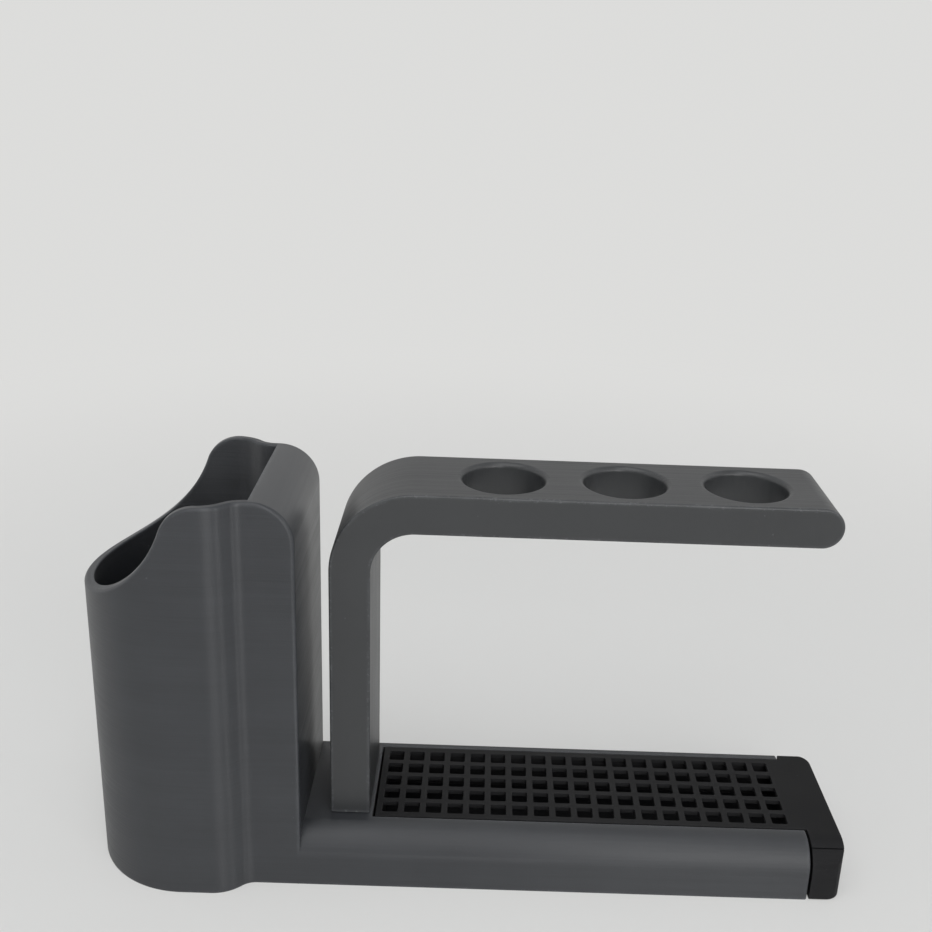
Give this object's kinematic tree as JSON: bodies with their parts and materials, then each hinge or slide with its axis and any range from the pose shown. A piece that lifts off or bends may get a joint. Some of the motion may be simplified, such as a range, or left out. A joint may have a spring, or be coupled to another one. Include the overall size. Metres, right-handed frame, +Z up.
{
  "type": "toothbrush holder",
  "caption": "Countertop toothbrush holder with an open vessel for toothpaste, a bent arm with brush holes, and a pull-out drip tray under a lift-off perforated grate.",
  "frame": {"origin": "middle of the bounding box's underside, on the surface that the holder stands on", "axes": "+X along the holder from the vessel to the tray's end piece, +Y from its front to its back, +Z up"},
  "size_m": [0.1908, 0.05, 0.1034],
  "materials": {
    "body_grey": "satin printed plastic with fine level layer lines",
    "arm_grey": "satin printed plastic, printed on its side",
    "tray_black": "matte black printed plastic",
    "grate_black": "matte black printed plastic"
  },
  "bodies": {
    "holder": {"holder_body": "body_grey", "brush_arm": "arm_grey"},
    "tray": {"drip_tray": "tray_black"},
    "grate": {"drain_grate": "grate_black"}
  },
  "joints": [
    {"name": "tray_slide", "type": "slide", "parent": "holder", "child": "tray", "axis": [1, 0, 0], "range_m": [0, 0.1105]},
    {"name": "grate_lift", "type": "slide", "parent": "tray", "child": "grate", "axis": [0, 0, 1], "range_m": [0, 0.06]}
  ]
}
